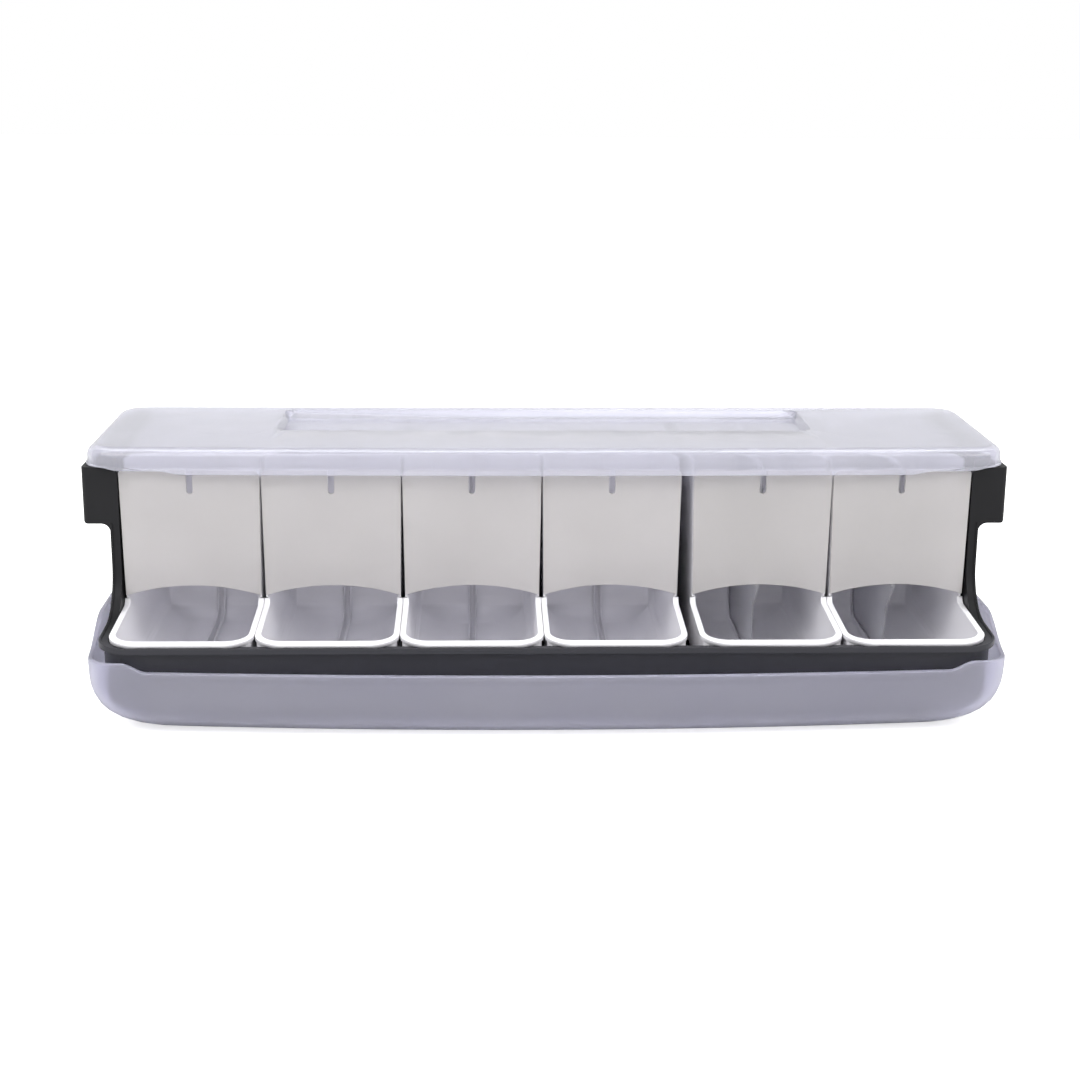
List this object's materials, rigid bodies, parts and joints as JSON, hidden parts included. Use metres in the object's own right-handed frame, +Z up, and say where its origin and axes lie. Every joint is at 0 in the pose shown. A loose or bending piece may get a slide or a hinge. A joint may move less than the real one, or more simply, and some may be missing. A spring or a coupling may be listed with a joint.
{
  "type": "condiment caddy",
  "caption": "Counter-top garnish caddy: a row of hopper trays with hanging flip lids in a dark carrying frame, over a frosted ice tub and under a lift-off frosted cover.",
  "frame": {"origin": "middle of the footprint, on the surface the caddy stands on", "axes": "+Z up, -Y the front with the scoops and flip lids, +X to the viewer's right"},
  "size_m": [0.5048, 0.1942, 0.1431],
  "materials": {
    "tub_plastic": "frosted translucent polypropylene",
    "frame_plastic": "satin black moulded plastic",
    "cover_plastic": "frosted translucent polypropylene",
    "tray_plastic": "satin white polypropylene",
    "lid_plastic": "frosted translucent polypropylene",
    "divider_plastic": "frosted translucent polypropylene"
  },
  "bodies": {
    "tub": {"base_tub": "tub_plastic"},
    "tray_carrier": {"frame": "frame_plastic", "tray_1": "tray_plastic", "tray_2": "tray_plastic", "tray_3": "tray_plastic", "tray_4": "tray_plastic", "tray_5": "tray_plastic", "tray_6": "tray_plastic", "divider_5": "divider_plastic", "divider_6": "divider_plastic"},
    "cover": {"top_cover": "cover_plastic"},
    "lid_1": {"flip_lid_1": "lid_plastic"},
    "lid_2": {"flip_lid_2": "lid_plastic"},
    "lid_3": {"flip_lid_3": "lid_plastic"},
    "lid_4": {"flip_lid_4": "lid_plastic"},
    "lid_5": {"flip_lid_5": "lid_plastic"},
    "lid_6": {"flip_lid_6": "lid_plastic"}
  },
  "joints": [
    {"name": "frame_lift", "type": "slide", "parent": "tub", "child": "tray_carrier", "axis": [0, 0, 1], "range_m": [0, 0.15]},
    {"name": "cover_lift", "type": "slide", "parent": "tray_carrier", "child": "cover", "axis": [0, 0, 1], "range_m": [0, 0.12]},
    {"name": "lid_1_hinge", "type": "hinge", "parent": "tray_carrier", "child": "lid_1", "pos_m": [-0.19435, -0.01835, 0.1231], "axis": [-1, 0, 0], "range_deg": [0, 90]},
    {"name": "lid_2_hinge", "type": "hinge", "parent": "tray_carrier", "child": "lid_2", "pos_m": [-0.11785, -0.01835, 0.1231], "axis": [-1, 0, 0], "range_deg": [0, 90]},
    {"name": "lid_3_hinge", "type": "hinge", "parent": "tray_carrier", "child": "lid_3", "pos_m": [-0.04135, -0.01835, 0.1231], "axis": [-1, 0, 0], "range_deg": [0, 90]},
    {"name": "lid_4_hinge", "type": "hinge", "parent": "tray_carrier", "child": "lid_4", "pos_m": [0.03515, -0.01835, 0.1231], "axis": [-1, 0, 0], "range_deg": [0, 90]},
    {"name": "lid_5_hinge", "type": "hinge", "parent": "tray_carrier", "child": "lid_5", "pos_m": [0.11785, -0.01835, 0.1231], "axis": [-1, 0, 0], "range_deg": [0, 90]},
    {"name": "lid_6_hinge", "type": "hinge", "parent": "tray_carrier", "child": "lid_6", "pos_m": [0.19435, -0.01835, 0.1231], "axis": [-1, 0, 0], "range_deg": [0, 90]}
  ]
}
